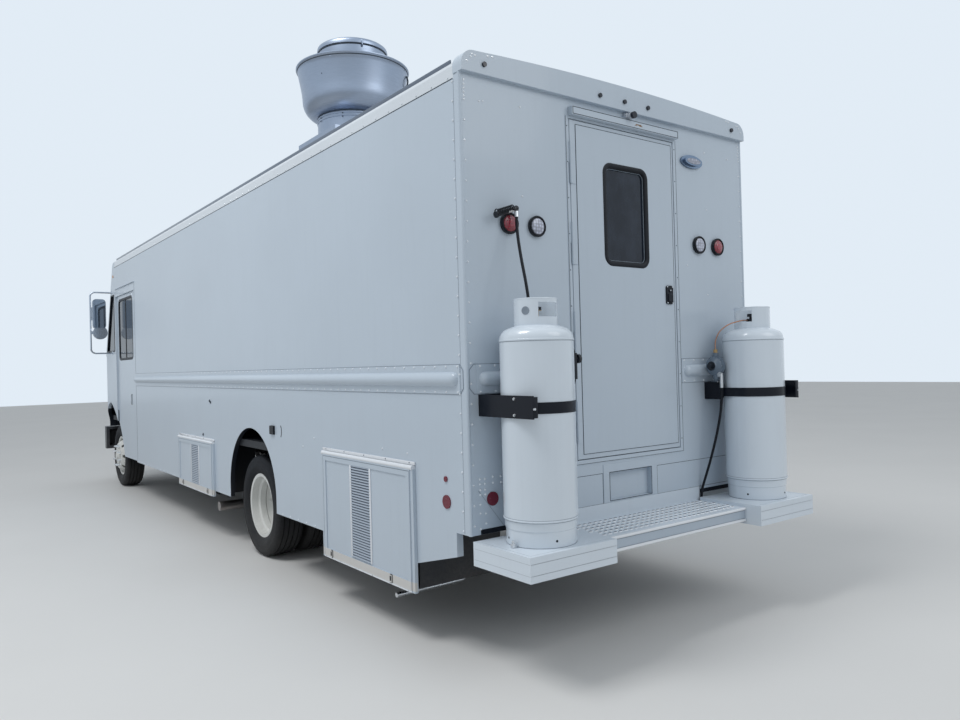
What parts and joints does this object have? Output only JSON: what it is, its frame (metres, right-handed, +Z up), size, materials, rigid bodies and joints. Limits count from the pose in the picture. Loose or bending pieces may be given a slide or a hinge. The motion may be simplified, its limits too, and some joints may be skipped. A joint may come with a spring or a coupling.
{
  "type": "food truck",
  "caption": "Walk-in van fitted out as a food truck, with sliding cab doors, a rear door over a step, lifting flaps, gas cylinders and a roof fan.",
  "frame": {"origin": "on the ground under the middle of the vehicle's box", "axes": "+X to the vehicle's left, -Y to its front, +Z up"},
  "size_m": [2.932, 9.81, 3.9999],
  "materials": {
    "frame_black": "satin black chassis paint with road dust",
    "spring_steel": "matt black with rust",
    "axle_black": "satin black paint with dust",
    "wheel_white": "gloss white, dusty",
    "tyre_rubber": "matt rubber",
    "engine_grey": "rough cast",
    "exhaust_steel": "dull, heat stained",
    "tank_black": "satin black",
    "body_white": "gloss white body paint",
    "locker_grey": "satin grey sheet",
    "roof_white": "satin white",
    "rail_white": "gloss white",
    "window_glass": "tinted glass",
    "lamp_lens": "moulded lens",
    "bumper_paint": "gloss white",
    "trim_aluminium": "anodised",
    "floor_plate": "dull plate",
    "dash_plastic": "grained",
    "seat_vinyl": "vinyl cover",
    "cylinder_paint": "white enamel",
    "fitting_brass": "dull brass",
    "bracket_black": "satin black",
    "spun_aluminium": "spun, weathered",
    "mirror_chrome": "polished",
    "hose_rubber": "matt hose"
  },
  "bodies": {
    "body": {"belt_rails": "body_white", "body_glass": "window_glass", "cab_front": "body_white", "chassis_frame": "frame_black", "corner_posts": "body_white", "dashboard": "dash_plastic", "drive_shaft": "axle_black", "driver_seat": "seat_vinyl", "engine_block": "engine_grey", "exhaust_system": "exhaust_steel", "fan_bowl": "spun_aluminium", "fan_neck": "spun_aluminium", "floor": "floor_plate", "front_axle": "axle_black", "front_bumper": "bumper_paint", "front_cowl": "body_white", "fuel_tank": "tank_black", "gas_cylinders": "cylinder_paint", "gas_fittings": "fitting_brass", "gas_hoses": "hose_rubber", "generator_exhaust": "exhaust_steel", "lamps": "lamp_lens", "leaf_springs": "spring_steel", "left_wall": "body_white", "mirrors": "mirror_chrome", "nose_grille": "body_white", "rear_axle": "axle_black", "rear_camera": "bracket_black", "rear_roof_cap": "body_white", "rear_step": "body_white", "rear_wall": "body_white", "right_wall": "body_white", "roof_panel": "roof_white", "roof_rails": "rail_white", "serving_window": "trim_aluminium", "side_lockers": "locker_grey", "tank_brackets": "bracket_black", "wipers": "bracket_black"},
    "front_left_wheel": {"front_left_rim": "wheel_white", "front_left_tyre": "tyre_rubber"},
    "front_right_wheel": {"front_right_rim": "wheel_white", "front_right_tyre": "tyre_rubber"},
    "rear_left_wheels": {"rear_left_rims": "wheel_white", "rear_left_tyres": "tyre_rubber"},
    "rear_right_wheels": {"rear_right_rims": "wheel_white", "rear_right_tyres": "tyre_rubber"},
    "left_knuckle": {"left_knuckle": "axle_black"},
    "right_knuckle": {"right_knuckle": "axle_black"},
    "tie_rod": {"tie_rod": "axle_black"},
    "steering_wheel": {"steering_wheel": "dash_plastic"},
    "left_cab_door": {"left_cab_door": "body_white", "left_cab_door_glass": "window_glass"},
    "right_cab_door": {"right_cab_door": "body_white", "right_cab_door_glass": "window_glass"},
    "rear_door": {"rear_door": "body_white", "rear_door_glass": "window_glass"},
    "generator_door": {"generator_door": "body_white"},
    "battery_door": {"battery_door": "body_white"},
    "serving_hatch": {"serving_hatch": "body_white"}
  },
  "joints": [
    {"name": "rear_left_wheels_spin", "type": "hinge", "parent": "body", "child": "rear_left_wheels", "pos_m": [0.8685, 1.335, 0.42], "axis": [1, 0, 0], "continuous": true},
    {"name": "rear_right_wheels_spin", "type": "hinge", "parent": "body", "child": "rear_right_wheels", "pos_m": [-0.8685, 1.335, 0.42], "axis": [1, 0, 0], "continuous": true},
    {"name": "steering_left", "type": "hinge", "parent": "body", "child": "left_knuckle", "pos_m": [0.905, -3.955, 0.42], "axis": [0, 0, 1], "range_deg": [-40, 40]},
    {"name": "steering_right", "type": "hinge", "parent": "body", "child": "right_knuckle", "pos_m": [-0.905, -3.955, 0.42], "axis": [0, 0, 1], "range_deg": [-40, 40]},
    {"name": "front_left_wheel_spin", "type": "hinge", "parent": "left_knuckle", "child": "front_left_wheel", "pos_m": [1.0175, -3.955, 0.42], "axis": [1, 0, 0], "continuous": true},
    {"name": "front_right_wheel_spin", "type": "hinge", "parent": "right_knuckle", "child": "front_right_wheel", "pos_m": [-1.0175, -3.955, 0.42], "axis": [1, 0, 0], "continuous": true},
    {"name": "tie_rod_pivot", "type": "hinge", "parent": "left_knuckle", "child": "tie_rod", "pos_m": [0.905, -3.795, 0.3267], "axis": [0, 0, 1], "range_deg": [-40, 40]},
    {"name": "steering_wheel_turn", "type": "hinge", "parent": "body", "child": "steering_wheel", "pos_m": [0.59, -3.845, 1.5], "axis": [0, 0.8192, 0.5736], "range_deg": [-640, 640]},
    {"name": "left_cab_door_slide", "type": "slide", "parent": "body", "child": "left_cab_door", "axis": [0, 1, 0], "range_m": [0, 0.86]},
    {"name": "right_cab_door_slide", "type": "slide", "parent": "body", "child": "right_cab_door", "axis": [0, 1, 0], "range_m": [0, 0.86]},
    {"name": "rear_door_swing", "type": "hinge", "parent": "body", "child": "rear_door", "pos_m": [0.43, 4.4533, 1.9], "axis": [0, 0, -1], "range_deg": [0, 110]},
    {"name": "generator_door_lift", "type": "hinge", "parent": "body", "child": "generator_door", "pos_m": [1.1973, 3.341, 0.981], "axis": [0, -1, 0], "range_deg": [0, 90]},
    {"name": "battery_door_lift", "type": "hinge", "parent": "body", "child": "battery_door", "pos_m": [1.1973, -0.19, 0.884], "axis": [0, -1, 0], "range_deg": [0, 90]},
    {"name": "serving_hatch_lift", "type": "hinge", "parent": "body", "child": "serving_hatch", "pos_m": [-1.1913, 0.045, 2.644], "axis": [0, 1, 0], "range_deg": [0, 90]}
  ],
  "couplings": [
    {"joint": "steering_right", "follows": "steering_left", "ratio": 1},
    {"joint": "tie_rod_pivot", "follows": "steering_left", "ratio": -1},
    {"joint": "steering_wheel_turn", "follows": "steering_left", "ratio": 16}
  ]
}
